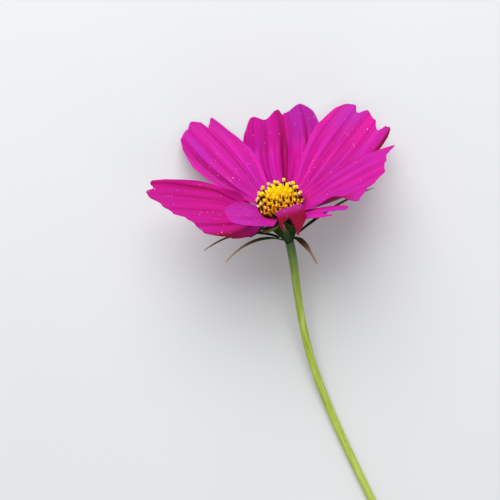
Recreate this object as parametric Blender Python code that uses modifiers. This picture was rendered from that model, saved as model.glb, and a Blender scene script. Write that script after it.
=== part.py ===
"""A cosmos flower, picked and laid down on a flat surface.

The bloom lies on its back petals and on its cut stem, so its face looks up and towards +Y.
It is made of eight ray petals, eight inner and eight outer bracts, the green receptacle, the
florets of the yellow disc and one stem.

Lengths below are millimetres and angles are degrees; MM turns them into Blender's metres.
+Z is up from the surface, and the origin is the middle of the flower's footprint on it.

The head has its own frame, centred where the petals join it: its Z is the flower's axis, its X
points to the right of the bloom, and azimuths turn from X towards its Y, which is the back.
"""

from math import cos, pi, radians, sin

import bmesh
import bpy
import numpy as np
from mathutils import Matrix, Vector

MM = 0.001

# How the head sits over the surface
HEAD_CENTRE = (3.1, 34.8, 24.0)
HEAD_LEAN = 14.0        # the axis leans to the left of +Y
HEAD_LIFT = 26.0        # the axis rises from the surface

# Green parts
RECEPTACLE_PROFILE = (
    (0.0, -0.3), (1.6, -0.42), (3.2, -0.74), (4.5, -1.15), (5.4, -1.55), (5.7, -2.1),
    (5.65, -3.2), (5.1, -5.2), (4.0, -7.6), (2.7, -9.8), (1.75, -11.3), (1.3, -12.5), (0.0, -12.5),
)
PAD_RINGS = 5           # of that profile, from its middle to the pad's rim
STEM_RADIUS = 1.2
STEM_ROUTE = (          # from the receptacle to the cut, measured from under the head's centre
    (2.8, -11.2, 18.4), (4.1, -17.8, 15.0), (5.2, -25.9, 11.4), (7.1, -37.0, 7.4),
    (10.1, -48.8, 4.3), (14.3, -60.3, 2.2), (19.1, -71.5, 1.3), (24.1, -82.2, 1.2),
    (29.2, -92.7, 1.2), (33.8, -102.0, 1.2),
)

# Blades: petals and bracts are one family of thin curved surfaces
PETAL_THICKNESS = 0.5
BRACT_THICKNESS = 0.4
SURFACE_LEVEL = 0.24    # how low the middle of a petal's thickness can lie
SURFACE_EASE = 1.2      # over what height a petal eases onto the surface

BLADE_FORM = dict(
    seat_radius=5.9, seat_height=-1.4, claw=3.4, fullness=1.1, turn=0.0, sway=0.0, curl=0.0,
    lift=0.0, lift_from=0.6, lift_to=1.0, roll=0.0, roll_by=0.4, arch=8.0, skew=0.0, shoulder=0.16,
    tip=((-1.0, 1.0), (1.0, 1.0)), folds=(), pointed=False,
)
PETALS = {
    "petal_back": dict(
        BLADE_FORM, seat=80, seat_height=-2.0, length=38.5, width=26, rise=17, curl=4, lift=42,
        roll=-2, arch=4,
        tip=((-1.0, 0.97), (-0.93, 1.06), (-0.73, 1.05), (-0.18, 0.965), (0.02, 1.0), (0.37, 0.94),
             (0.77, 1.02), (0.92, 0.97), (1.0, 0.87)),
    ),
    "petal_back_right": dict(
        BLADE_FORM, seat=38, turn=-5, sway=4, length=40, width=24.5, claw=5.0, fullness=1.3,
        rise=18, curl=8, roll=14, folds=((-0.9, 60, -0.1, 2.0),),
        tip=((-1.0, 0.99), (-0.95, 1.02), (-0.8, 0.97), (-0.6, 0.87), (-0.32, 0.935), (0.07, 0.985),
             (0.25, 0.93), (0.5, 1.0), (0.9, 1.0), (1.0, 0.87)),
    ),
    "petal_right": dict(
        BLADE_FORM, seat=-8, turn=1, length=33.2, width=17, claw=5.2, skew=-0.2, fullness=0.9, rise=17,
        curl=2, roll=22, arch=10, folds=((-0.62, -80, -0.2, 0.5),),
        tip=((-1.0, 0.7), (-0.85, 0.66), (-0.66, 0.68), (-0.58, 0.76), (-0.28, 0.86), (0.32, 0.915),
             (0.73, 1.065), (1.0, 0.88)),
    ),
    "petal_front_right": dict(
        BLADE_FORM, seat=-50, seat_height=-2.3, turn=-2, length=21, width=12,
        claw=4.6, fullness=0.9, rise=18, curl=-8, roll=-6, arch=0,
        tip=((-1.0, 0.62), (-0.7, 0.9), (-0.4, 0.95), (-0.15, 0.65), (0.1, 0.6), (0.3, 0.75),
             (0.5, 1.0), (0.85, 1.0), (1.0, 0.8)),
    ),
    "petal_front": dict(
        BLADE_FORM, seat=-92, turn=11, length=22.5, width=9, skew=0.3, rise=40, lift=-118,
        lift_from=0.42, lift_to=0.66, arch=-6,
        tip=((-1.0, 0.82), (-0.85, 0.87), (-0.6, 0.8), (-0.45, 0.69), (0.1, 0.66), (0.2, 0.75),
             (0.33, 0.93), (0.5, 0.88), (0.75, 0.84), (0.95, 0.84), (1.0, 0.7)),
    ),
    "petal_front_left": dict(
        BLADE_FORM, seat=-137, seat_radius=6.3, seat_height=-1.2, length=18.4, width=10.5,
        claw=6.5, fullness=0.3, skew=-0.1, rise=29, roll=-36, roll_by=0.15, arch=27,
        tip=((-1.0, 0.8), (-0.5, 1.0), (0.5, 1.0), (1.0, 0.8)),
    ),
    "petal_left": dict(
        BLADE_FORM, seat=181, seat_height=-2.1, turn=4, length=36, width=25, claw=5.0, fullness=0.6,
        rise=19, curl=4, roll=-30, folds=((0.62, -40, 0.2, 2.0),),
        tip=((-1.0, 0.72), (-0.93, 1.08), (-0.7, 0.985), (-0.62, 1.03), (-0.45, 1.0), (-0.2, 0.88),
             (0.05, 0.79), (0.15, 0.68), (0.35, 0.6), (0.6, 0.56), (0.82, 0.37), (1.0, 0.28)),
    ),
    "petal_back_left": dict(
        BLADE_FORM, seat=124, seat_height=-0.5, turn=-8, sway=4, length=40.5, width=20.8,
        claw=4.4, rise=26, curl=4, roll=-4,
        tip=((-1.0, 0.58), (-0.9, 0.67), (-0.78, 0.8), (-0.7, 0.99), (-0.42, 0.92), (-0.36, 0.9),
             (-0.3, 0.98), (-0.02, 1.02), (0.3, 0.97), (0.6, 0.96), (0.85, 0.91), (1.0, 0.8)),
    ),
}

INNER_BRACT_FORM = dict(
    BLADE_FORM, seat_radius=5.95, seat_height=-3.2, claw=2.6, width=4.2,
    curl=6.0, arch=20.0, shoulder=0.35,
)
INNER_BRACTS = (        # (seat, rise, length) of each
    (17, 12, 11), (62, 12, 11), (107, 12, 11), (152, 10, 11), (197, -24, 7), (242, 8, 8),
    (287, 10, 8), (332, 6, 10),
)

OUTER_BRACT_FORM = dict(
    BLADE_FORM, seat_radius=2.8, seat_height=-10.4, claw=1.2, width=2.0, arch=20.0, shoulder=0.0,
    pointed=True,
)
OUTER_BRACTS = {
    "outer_bract_right": dict(OUTER_BRACT_FORM, seat=355, length=28, rise=32, curl=-22),
    "outer_bract_back_right": dict(OUTER_BRACT_FORM, seat=40, length=17, rise=34, curl=-12),
    "outer_bract_back": dict(OUTER_BRACT_FORM, seat=85, length=15, rise=36, curl=-14),
    "outer_bract_back_left": dict(OUTER_BRACT_FORM, seat=130, length=18, rise=32, curl=-24),
    "outer_bract_left": dict(OUTER_BRACT_FORM, seat=175, turn=15, length=25, rise=38, curl=-60),
    "outer_bract_front_left": dict(
        OUTER_BRACT_FORM, seat=220, turn=-5, length=24, rise=40, curl=-62,
    ),
    "outer_bract_front": dict(OUTER_BRACT_FORM, seat=265, length=12.5, rise=50),
    "outer_bract_front_right": dict(
        OUTER_BRACT_FORM, seat=305, turn=-15, length=13.5, rise=5, curl=-55,
    ),
}

# The disc: florets stand on the receptacle's pad and fan out to a dome
FLORETS_IN_DISC = 60
FLORETS_IN_MIDDLE = 28          # the innermost, packed too tightly to part
PAD_RADIUS = 5.0
DOME_RADIUS = 6.9
DOME_FOOT = 1.3                 # height of the dome's centre of curvature
DOME_HALF_ANGLE = 85.0
GOLDEN_ANGLE = 137.508
FLORET_LENGTH = 5.0             # of the profile below, which each floret stretches
FLORET_PROFILE = (
    (0.0, 5.0), (0.42, 4.75), (0.42, 4.3), (0.24, 4.0), (0.24, 3.3), (0.6, 3.15), (0.56, 2.4),
    (0.3, 1.2), (0.26, 0.0), (0.0, 0.0),
)
MIDDLE_PROFILE = (
    (0.0, 7.3), (1.5, 7.1), (3.0, 6.4), (4.0, 5.5), (4.4, 4.5), (4.1, 3.5), (3.5, 2.2), (2.9, 0.8),
    (2.6, -0.2), (1.3, -0.05), (0.0, 0.05),
)
SEATING_GAP = 0.3

HEAD_FRAME = (
    Matrix.Translation(Vector(HEAD_CENTRE) * MM)
    @ Matrix.Rotation(radians(HEAD_LEAN), 4, "Z")
    @ Matrix.Rotation(radians(HEAD_LIFT - 90.0), 4, "X")
)


def clear_scene():
    for existing in list(bpy.data.objects):
        bpy.data.objects.remove(existing, do_unlink=True)


def make_material(name, colour, roughness):
    material = bpy.data.materials.new(name)
    material.use_nodes = True
    shader = material.node_tree.nodes["Principled BSDF"]
    shader.inputs["Base Color"].default_value = (*colour, 1.0)
    shader.inputs["Roughness"].default_value = roughness
    shader.inputs["Metallic"].default_value = 0.0
    return material


def add_object(name, data, material, frame=Matrix.Identity(4)):
    piece = bpy.data.objects.new(name, data)
    if not data.materials:
        data.materials.append(material)
    piece.matrix_world = frame
    FLOWER.objects.link(piece)
    return piece


def ease(value):
    """A smooth step from 0 to 1."""
    value = np.clip(value, 0.0, 1.0)
    return value * value * (3.0 - 2.0 * value)


def outline(points, across):
    """A line through (place, value) points that eases from each point to the next."""
    places, values = np.array(points).T
    after = np.clip(np.searchsorted(places, across, side="right"), 1, len(places) - 1)
    share = (across - places[after - 1]) / (places[after] - places[after - 1])
    return values[after - 1] + (values[after] - values[after - 1]) * ease(share)


def running_sum(values, spacing, axis=0):
    """The trapezoid integral of values from the first one on."""
    values = np.moveaxis(values, axis, 0)
    steps = (values[1:] + values[:-1]) * 0.5 * spacing
    total = np.concatenate([np.zeros_like(values[:1]), np.cumsum(steps, axis=0)])
    return np.moveaxis(total, 0, axis)


def blade_points(form, rows, columns):
    """Points of a petal or bract in the head's frame, row by row from its claw to its tip.

    Its midrib leaves the seat on the receptacle's rim, rises and turns as it goes, and the
    blade lies across it at an angle that rolls it to one side and arches its margins.
    """
    along = np.linspace(0.0, 1.15, 240)
    spacing = (along[1] - along[0]) * form["length"]
    climb = form["rise"] + form["curl"] * along
    bent = (along - form["lift_from"]) / (form["lift_to"] - form["lift_from"])
    climb = climb + form["lift"] * ease(bent)
    climb = np.radians(climb)
    heading = form["seat"] + form["turn"] * ease(along / 0.35) + form["sway"] * along
    heading = np.radians(heading)
    seat = radians(form["seat"])
    rib = np.stack([
        running_sum(np.cos(climb) * np.cos(heading), spacing) + form["seat_radius"] * cos(seat),
        running_sum(np.cos(climb) * np.sin(heading), spacing) + form["seat_radius"] * sin(seat),
        running_sum(np.sin(climb), spacing) + form["seat_height"],
    ], axis=-1)

    across = np.linspace(-1.0, 1.0, columns)
    reach = outline(form["tip"], across) - form["shoulder"] * np.abs(across) ** 4
    run = np.linspace(0.0, 1.0, rows)[:, None] * reach[None, :]
    side = np.broadcast_to(across, run.shape)

    if form["pointed"]:
        half_width = form["width"] / 2 * (0.6 + 0.4 * ease(run / 0.25))
        half_width = half_width * (1.0 - 0.88 * ease((run - 0.3) / 0.75))
    else:
        swell = np.sin(pi / 2 * np.clip(run / 0.72, 0.0, 1.0)) ** form["fullness"]
        half_width = (form["claw"] + (form["width"] - form["claw"]) * swell) / 2
        half_width = half_width * (1.0 - 0.10 * np.clip((run - 0.72) / 0.28, 0.0, 1.2) ** 2)
    half_width = half_width * (1.0 + form["skew"] * side)

    bank = form["roll"] * ease(run / form["roll_by"]) + form["arch"] * side * (0.3 + 0.7 * run)
    for place, angle, width, end in form["folds"]:
        kept = ease(run / 0.35) * (1.0 - ease((run - end) / 0.2 + 0.5))
        bank = bank + angle * ease((side - place) / width + 0.5) * kept
    bank = np.radians(bank)
    step = across[1] - across[0]
    middle = columns // 2
    level = running_sum(np.cos(bank), step, axis=1)
    level = (level - level[:, middle:middle + 1]) * half_width
    height = running_sum(np.sin(bank), step, axis=1)
    height = (height - height[:, middle:middle + 1]) * half_width

    centre = np.stack([np.interp(run, along, rib[:, axis]) for axis in range(3)], axis=-1)
    climb_here = np.interp(run, along, climb)
    heading_here = np.interp(run, along, heading)
    sideways = np.stack([-np.sin(heading_here), np.cos(heading_here), 0 * run], axis=-1)
    upward = np.stack([
        -np.sin(climb_here) * np.cos(heading_here),
        -np.sin(climb_here) * np.sin(heading_here),
        np.cos(climb_here),
    ], axis=-1)
    return centre + sideways * level[..., None] + upward * height[..., None]


def rest_on_surface(points):
    """Moves points from the head's frame to the flower's, easing low ones onto the surface."""
    turn = np.array(HEAD_FRAME.to_3x3())
    points = points @ turn.T + np.array(HEAD_CENTRE)
    drop = (points[..., 2] - SURFACE_LEVEL) / SURFACE_EASE
    points[..., 2] = SURFACE_LEVEL + SURFACE_EASE * np.logaddexp(0.0, drop)
    return points


def make_blade(name, form, material, thickness, rows, columns):
    points = rest_on_surface(blade_points(form, rows, columns)) * MM
    mesh = bpy.data.meshes.new(name)
    sheet = bmesh.new()
    bmesh.ops.create_grid(sheet, x_segments=columns - 1, y_segments=rows - 1, size=1.0)
    for corner in sheet.verts:
        column = round((corner.co.x + 1.0) / 2.0 * (columns - 1))
        row = round((corner.co.y + 1.0) / 2.0 * (rows - 1))
        corner.co = points[row, column]
    sheet.to_mesh(mesh)
    sheet.free()
    mesh.shade_smooth()
    blade = add_object(name, mesh, material)
    wall = blade.modifiers.new("thickness", "SOLIDIFY")
    wall.thickness = thickness * MM
    wall.offset = 0.0


def make_turned(name, profile, material, frame, sides, stretch=1.0):
    """Turns a profile, given from top to bottom, about its Z axis."""
    mesh = bpy.data.meshes.new(name)
    line = bmesh.new()
    corners = [line.verts.new((r * MM, 0.0, z * stretch * MM)) for r, z in profile]
    for upper, lower in zip(corners, corners[1:]):
        line.edges.new((upper, lower))
    line.to_mesh(mesh)
    line.free()
    turned = add_object(name, mesh, material, frame)
    screw = turned.modifiers.new("turn", "SCREW")
    screw.steps = sides
    screw.render_steps = sides
    screw.use_merge_vertices = True
    screw.merge_threshold = 0.01 * MM
    screw.use_smooth_shade = True


def make_stem(material):
    curve = bpy.data.curves.new("stem", "CURVE")
    curve.dimensions = "3D"
    curve.resolution_u = 5
    curve.bevel_depth = STEM_RADIUS * MM
    curve.bevel_resolution = 2
    curve.use_fill_caps = True
    spline = curve.splines.new("BEZIER")
    spline.bezier_points.add(len(STEM_ROUTE) - 1)
    foot = Vector((HEAD_CENTRE[0], HEAD_CENTRE[1], 0.0))
    for knot, place in zip(spline.bezier_points, STEM_ROUTE):
        knot.co = (foot + Vector(place)) * MM
        knot.handle_left_type = "AUTO"
        knot.handle_right_type = "AUTO"
    add_object("stem", curve, material)


def pad_height(radius):
    """Height of the receptacle's domed top."""
    radii, heights = zip(*RECEPTACLE_PROFILE[:PAD_RINGS])
    return float(np.interp(radius, radii, heights))


def make_floret(name, number, material):
    """A disc floret, the number-th from the middle of the spiral."""
    share = (number + 0.5) / FLORETS_IN_DISC
    azimuth = radians(number * GOLDEN_ANGLE)
    foot_radius = PAD_RADIUS * share ** 0.5
    slope = 1.0 - share * (1.0 - cos(radians(DOME_HALF_ANGLE)))
    head_radius = DOME_RADIUS * (1.0 - slope * slope) ** 0.5
    head_height = DOME_FOOT + DOME_RADIUS * slope
    foot = Vector((foot_radius, 0.0, pad_height(foot_radius) + SEATING_GAP))
    lean = Vector((head_radius, 0.0, head_height)) - foot
    place = (
        Matrix.Rotation(azimuth, 4, "Z")
        @ Matrix.Translation(foot * MM)
        @ lean.to_track_quat("Z", "Y").to_matrix().to_4x4()
    )
    stretch = lean.length / FLORET_LENGTH
    make_turned(name, FLORET_PROFILE, material, HEAD_FRAME @ place, sides=6, stretch=stretch)


clear_scene()
FLOWER = bpy.data.collections.new("cosmos_flower")
bpy.context.scene.collection.children.link(FLOWER)

petal_magenta = make_material("petal_magenta", (0.66, 0.01, 0.30), 0.45)
leaf_green = make_material("leaf_green", (0.10, 0.22, 0.03), 0.5)
stem_green = make_material("stem_green", (0.30, 0.38, 0.05), 0.45)
disc_yellow = make_material("disc_yellow", (0.90, 0.60, 0.01), 0.6)

for petal_name, petal_form in PETALS.items():
    make_blade(petal_name, petal_form, petal_magenta, PETAL_THICKNESS, rows=13, columns=21)

for bract_number, (bract_seat, bract_rise, bract_length) in enumerate(INNER_BRACTS, start=1):
    bract_form = dict(INNER_BRACT_FORM, seat=bract_seat, rise=bract_rise, length=bract_length)
    bract_name = f"inner_bract_{bract_number}"
    make_blade(bract_name, bract_form, leaf_green, BRACT_THICKNESS, rows=6, columns=5)

for bract_name, bract_form in OUTER_BRACTS.items():
    make_blade(bract_name, bract_form, leaf_green, BRACT_THICKNESS, rows=10, columns=3)

make_turned("receptacle", RECEPTACLE_PROFILE, leaf_green, HEAD_FRAME, sides=16)
make_stem(stem_green)
make_turned("disc_middle", MIDDLE_PROFILE, disc_yellow, HEAD_FRAME, sides=16)
for floret_number in range(FLORETS_IN_MIDDLE, FLORETS_IN_DISC):
    floret_name = f"floret_{floret_number - FLORETS_IN_MIDDLE + 1:02d}"
    make_floret(floret_name, floret_number, disc_yellow)
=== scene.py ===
"""A picked cosmos flower lying on a pale surface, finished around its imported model.

The flower is put together from the cup outwards: receptacle, stem, bracts, petals, disc florets
and the dust of pollen and dew on the petals. Sizes are millimetres; MM turns them into metres.
"""

from math import pi, radians

import bmesh
import bpy
import numpy as np
from mathutils import Matrix, Vector


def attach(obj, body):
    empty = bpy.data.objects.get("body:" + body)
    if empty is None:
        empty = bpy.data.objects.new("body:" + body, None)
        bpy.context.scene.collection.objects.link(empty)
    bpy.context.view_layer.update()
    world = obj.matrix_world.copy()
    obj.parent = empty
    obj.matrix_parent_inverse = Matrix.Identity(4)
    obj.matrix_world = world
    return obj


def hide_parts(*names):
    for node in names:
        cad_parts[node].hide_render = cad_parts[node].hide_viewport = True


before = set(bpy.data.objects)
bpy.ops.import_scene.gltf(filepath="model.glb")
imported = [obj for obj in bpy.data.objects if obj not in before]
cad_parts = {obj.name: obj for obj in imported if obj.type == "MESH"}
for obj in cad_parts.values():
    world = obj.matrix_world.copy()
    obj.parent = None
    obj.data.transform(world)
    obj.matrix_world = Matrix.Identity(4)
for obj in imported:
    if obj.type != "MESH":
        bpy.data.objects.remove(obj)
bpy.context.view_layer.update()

MM = 0.001


# ------------------------------------------------------------------------------ Receptacle
# The green cup at the top of the stem. It grew in one piece: a waxy, faintly ribbed bell whose
# rim carries the petals, whose foot carries the outer bracts, and whose domed pad holds the disc.

# (radius, height, how deeply the eight ribs stand), from the top of the pad to the stem
CUP_PROFILE = (
    (0.0, -0.3, 0.0), (0.8, -0.33, 0.0), (1.6, -0.42, 0.0), (2.4, -0.56, 0.0), (3.2, -0.74, 0.0),
    (4.0, -0.98, 0.0), (4.8, -1.26, 0.0), (5.4, -1.55, 0.0), (5.7, -2.1, 0.01),
    (5.65, -3.2, 0.02), (5.1, -5.2, 0.04), (4.6, -6.4, 0.05), (4.0, -7.6, 0.05),
    (3.3, -8.8, 0.05), (2.6, -9.9, 0.04), (2.0, -10.9, 0.03), (1.5, -12.0, 0.02),
    (1.3, -12.9, 0.0), (0.0, -12.9, 0.0),
)
CUP_RIBS = 8
PAD_TOP = CUP_PROFILE[0][1]


class Socket:
    """A socket of a node tree. Operators on it add Math nodes, and node() adds any other node."""

    def __init__(self, tree, socket=None):
        self.tree = tree
        self.socket = socket

    def node(self, kind, settings=(), inputs=(), output=0):
        """Adds a node with its settings, and with values, sockets or lists of sockets as inputs."""
        made = self.tree.nodes.new(kind)
        for name, setting in dict(settings).items():
            if name == "stops":
                made.color_ramp.elements.remove(made.color_ramp.elements[1])
                for number, (place, colour) in enumerate(setting):
                    stops = made.color_ramp.elements
                    stop = stops.new(place) if number else stops[0]
                    stop.position = place
                    stop.color = (*colour, 1.0)
            else:
                setattr(made, name, setting)
        for name, value in dict(inputs).items():
            for one in value if isinstance(value, list) else [value]:
                if isinstance(one, Socket):
                    self.tree.links.new(one.socket, made.inputs[name])
                else:
                    made.inputs[name].default_value = one
        return Socket(self.tree, made.outputs[output]) if made.outputs else None

    def of(self, output):
        """Another output of the node that this socket belongs to."""
        return Socket(self.tree, self.socket.node.outputs[output])

    def to(self, target):
        self.tree.links.new(self.socket, target)

    def maths(self, operation, *others):
        values = dict(enumerate((self, *others)))
        return self.node("ShaderNodeMath", {"operation": operation}, values)

    def reversed_maths(self, operation, other):
        return self.node("ShaderNodeMath", {"operation": operation}, {0: other, 1: self})

    def __add__(self, other):
        return self.maths("ADD", other)

    def __sub__(self, other):
        return self.maths("SUBTRACT", other)

    def __rsub__(self, other):
        return self.reversed_maths("SUBTRACT", other)

    def __mul__(self, other):
        return self.maths("MULTIPLY", other)

    def __truediv__(self, other):
        return self.maths("DIVIDE", other)

    def __rtruediv__(self, other):
        return self.reversed_maths("DIVIDE", other)

    def __pow__(self, other):
        return self.maths("POWER", other)

    __radd__ = __add__
    __rmul__ = __mul__

    def between(self, low, high):
        """How far this value has come from low to high, as a smooth step from 0 to 1."""
        return self.node(
            "ShaderNodeMapRange", {"interpolation_type": "SMOOTHSTEP"},
            {"Value": self, "From Min": low, "From Max": high},
        )

    def vector(self, operation, *others, output=0):
        values = dict(enumerate((self, *others)))
        return self.node("ShaderNodeVectorMath", {"operation": operation}, values, output)

    def scaled(self, amount):
        return self.node(
            "ShaderNodeVectorMath", {"operation": "SCALE"}, {"Vector": self, "Scale": amount}
        )

    def blend(self, first, second, kind="MIX"):
        """A colour that goes from first to second as this value goes from 0 to 1."""
        first, second = (
            (*colour, 1.0) if isinstance(colour, tuple) else colour for colour in (first, second)
        )
        settings = {"data_type": "RGBA", "blend_type": kind}
        return self.node("ShaderNodeMix", settings, {0: self, 6: first, 7: second}, output=2)

    def noise(self, scale, detail=2.0, roughness=0.5):
        """Noise over the coordinates that this socket holds."""
        inputs = {"Vector": self, "Scale": scale, "Detail": detail, "Roughness": roughness}
        return self.node("ShaderNodeTexNoise", {}, inputs)


def new_material(name, roughness=0.5, **constants):
    """A material, the start of its graph, and its Principled shader with constants set on it."""
    material = bpy.data.materials.new(name)
    material.use_nodes = True
    shader = material.node_tree.nodes["Principled BSDF"]
    shader.inputs["Roughness"].default_value = roughness
    for label, value in constants.items():
        shader.inputs[label.replace("_", " ")].default_value = value
    return material, Socket(material.node_tree), shader


def bump(graph, shader, height, depth):
    """Raises the shader's surface by a height field of a depth in millimetres."""
    inputs = {"Height": height, "Strength": 1.0, "Distance": depth * MM}
    graph.node("ShaderNodeBump", {}, inputs).to(shader.inputs["Normal"])


def object_millimetres(graph):
    """Coordinates on the flower, in millimetres."""
    return graph.node("ShaderNodeTexCoord", output="Object").scaled(1.0 / MM)


def show(name, mesh, slot, *nodes):
    """A finished piece in the flower's frame, which stands for CAD nodes."""
    piece = bpy.data.objects.new(name, mesh)
    bpy.context.scene.collection.objects.link(piece)
    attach(piece, "root")
    if nodes:
        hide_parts(*nodes)
    return piece


def sheet_mesh(name, points):
    """A sheet of quads over rows and columns of points; its UV map runs along both."""
    rows, columns = points.shape[:2]
    mesh = bpy.data.meshes.new(name)
    sheet = bmesh.new()
    sheet.loops.layers.uv.new("blade")
    bmesh.ops.create_grid(
        sheet, x_segments=columns - 1, y_segments=rows - 1, size=1.0, calc_uvs=True
    )
    for corner in sheet.verts:
        column = round((corner.co.x + 1.0) / 2.0 * (columns - 1))
        row = round((corner.co.y + 1.0) / 2.0 * (rows - 1))
        corner.co = points[row, column] * MM
    sheet.to_mesh(mesh)
    sheet.free()
    mesh.shade_smooth()
    return mesh


def turned_mesh(name, profile, sides, lobes, material=None):
    """Turns (radius, height, lobe depth) rings about Z and closes the seam and the poles."""
    profile = np.array(profile)
    azimuth = np.linspace(0.0, 2.0 * pi, sides + 1)
    radius = profile[:, :1] * (1.0 + profile[:, 2:] * np.cos(lobes * azimuth))
    height = np.broadcast_to(profile[:, 1:2], radius.shape)
    mesh = sheet_mesh(name, np.stack(
        [radius * np.cos(azimuth), radius * np.sin(azimuth), height], axis=-1
    ))
    solid = bmesh.new()
    solid.from_mesh(mesh)
    bmesh.ops.remove_doubles(solid, verts=solid.verts, dist=1e-7)
    bmesh.ops.recalc_face_normals(solid, faces=solid.faces)
    solid.to_mesh(mesh)
    solid.free()
    if material:
        mesh.materials.append(material)
    return mesh


# The head's own frame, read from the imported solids: its Z is the flower's axis, its X points to
# the right of the bloom, and its origin lies on the axis, just over the top of the pad.
cup_points = np.array([corner.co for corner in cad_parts["receptacle"].data.vertices])
disc_points = np.array([corner.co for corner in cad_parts["disc_middle"].data.vertices])
head_axis = Vector(disc_points.mean(axis=0) - cup_points.mean(axis=0)).normalized()
head_right = head_axis.cross(Vector((0.0, 0.0, 1.0))).normalized()
cup_middle = Vector(cup_points.mean(axis=0))
pad_rise = (cup_points @ np.array(head_axis)).max() - cup_middle.dot(head_axis)
HEAD_CENTRE = cup_middle + head_axis * (pad_rise - PAD_TOP * MM)
HEAD_FRAME = Matrix.Translation(HEAD_CENTRE) @ Matrix(
    (head_right, head_axis.cross(head_right), head_axis)
).transposed().to_4x4()

cup_green, graph, shader = new_material("cup_green", 0.6, Specular_IOR_Level=0.08)
place = object_millimetres(graph)
down = graph.node("ShaderNodeSeparateXYZ", {}, {
    0: graph.node("ShaderNodeUVMap", {"uv_map": "blade"}),
}).of("Y")
green = place.noise(0.9, detail=4.0).between(0.3, 0.7)
green = green.blend((0.005, 0.018, 0.001), (0.018, 0.044, 0.001))
down.between(0.36, 0.46).blend((0.060, 0.003, 0.010), green).to(shader.inputs["Base Color"])
bump(graph, shader, place.noise(5.0, detail=3.0), 0.06)

cup = turned_mesh("receptacle_cup", CUP_PROFILE, 96, CUP_RIBS, cup_green)
cup.transform(HEAD_FRAME)
show("receptacle_cup", cup, "receptacle", "receptacle")


# ------------------------------------------------------------------------------------ Stem
# One long green stalk, cut at its far end: a pithy tube with fine lengthwise ridges, which runs
# on from the cup, bows down to the surface and lies along it. It grew in one with the cup.

# The middle of the stalk, measured in the flower's frame from under the head's centre
STEM_ROUTE = (
    (2.4, -9.4, 19.25), (2.8, -11.2, 18.4), (4.1, -17.8, 15.0), (5.2, -25.9, 11.4),
    (7.1, -37.0, 7.4), (10.1, -48.8, 4.3), (14.3, -60.3, 2.2), (19.1, -71.5, 1.3),
    (24.1, -82.2, 1.2), (29.2, -92.7, 1.2), (33.8, -102.0, 1.2),
)
STEM_RADIUS = 1.17


def new_tree(name, inputs):
    """A Geometry Nodes tree with a geometry and named inputs, and the graph of its inputs."""
    tree = bpy.data.node_groups.new(name, "GeometryNodeTree")
    tree.interface.new_socket("Geometry", in_out="INPUT", socket_type="NodeSocketGeometry")
    for label, kind in inputs.items():
        tree.interface.new_socket(label, in_out="INPUT", socket_type=f"NodeSocket{kind}")
    tree.interface.new_socket("Geometry", in_out="OUTPUT", socket_type="NodeSocketGeometry")
    return Socket(tree).node("NodeGroupInput")


def end_tree(geometry, given):
    """Ends a tree with real geometry in the given material."""
    geometry = geometry.node("GeometryNodeRealizeInstances", {}, {"Geometry": geometry})
    geometry = geometry.node(
        "GeometryNodeSetMaterial", {}, {"Geometry": geometry, "Material": given.of("Material")}
    )
    geometry.node("NodeGroupOutput", {}, {0: geometry})


def store(geometry, name, value, domain="POINT"):
    """Stores a value on geometry, for the material to read."""
    return geometry.node(
        "GeometryNodeStoreNamedAttribute", {"data_type": "FLOAT", "domain": domain},
        {"Geometry": geometry, "Name": name, "Value": value},
    )


def grow(name, start, given, inputs):
    """The plain mesh that a tree makes of a starting mesh, with inputs given by name."""
    tree = given.tree
    seed = bpy.data.objects.new(name, start)
    bpy.context.scene.collection.objects.link(seed)
    modifier = seed.modifiers.new("grow", "NODES")
    modifier.node_group = tree
    for socket in tree.interface.items_tree:
        if socket.in_out == "INPUT" and socket.name in inputs:
            modifier[socket.identifier] = inputs[socket.name]
    graph = bpy.context.evaluated_depsgraph_get()
    mesh = bpy.data.meshes.new_from_object(seed.evaluated_get(graph), depsgraph=graph)
    bpy.data.objects.remove(seed)
    mesh.name = name
    return mesh


stalk = new_tree("ribbed_stalk", {
    "Steps": "Int", "Radius": "Float", "Ribs": "Int", "Rib Depth": "Float", "Neck": "Float",
    "Material": "Material",
})
line = stalk.node("GeometryNodeMeshToCurve", {}, {"Mesh": stalk.of("Geometry")})
line = stalk.node("GeometryNodeCurveSplineType", {"spline_type": "CATMULL_ROM"}, {"Curve": line})
line = stalk.node("GeometryNodeResampleCurve", {}, {"Curve": line, "Count": stalk.of("Steps")})
share = stalk.node("GeometryNodeSplineParameter")
line = store(line, "down", share)
neck = (1.0 - share.between(0.0, 0.22)) * stalk.of("Neck") + 1.0
swell = stalk.node("GeometryNodeInputPosition").noise(60.0, detail=1.0) * 0.12 + 0.94
ring = stalk.node("GeometryNodeCurvePrimitiveCircle", {}, {"Resolution": 60, "Radius": 1.0})
rib = (share * stalk.of("Ribs") * (2.0 * pi)).maths("COSINE") * stalk.of("Rib Depth") + 1.0
ring = stalk.node(
    "GeometryNodeSetPosition", {},
    {"Geometry": ring, "Position": stalk.node("GeometryNodeInputPosition").scaled(rib)},
)
ring = store(ring, "round", share)
tube = stalk.node("GeometryNodeCurveToMesh", {}, {
    "Curve": line, "Profile Curve": ring, "Scale": stalk.of("Radius") * neck * swell,
    "Fill Caps": True,
})
end_tree(tube, stalk)

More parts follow.
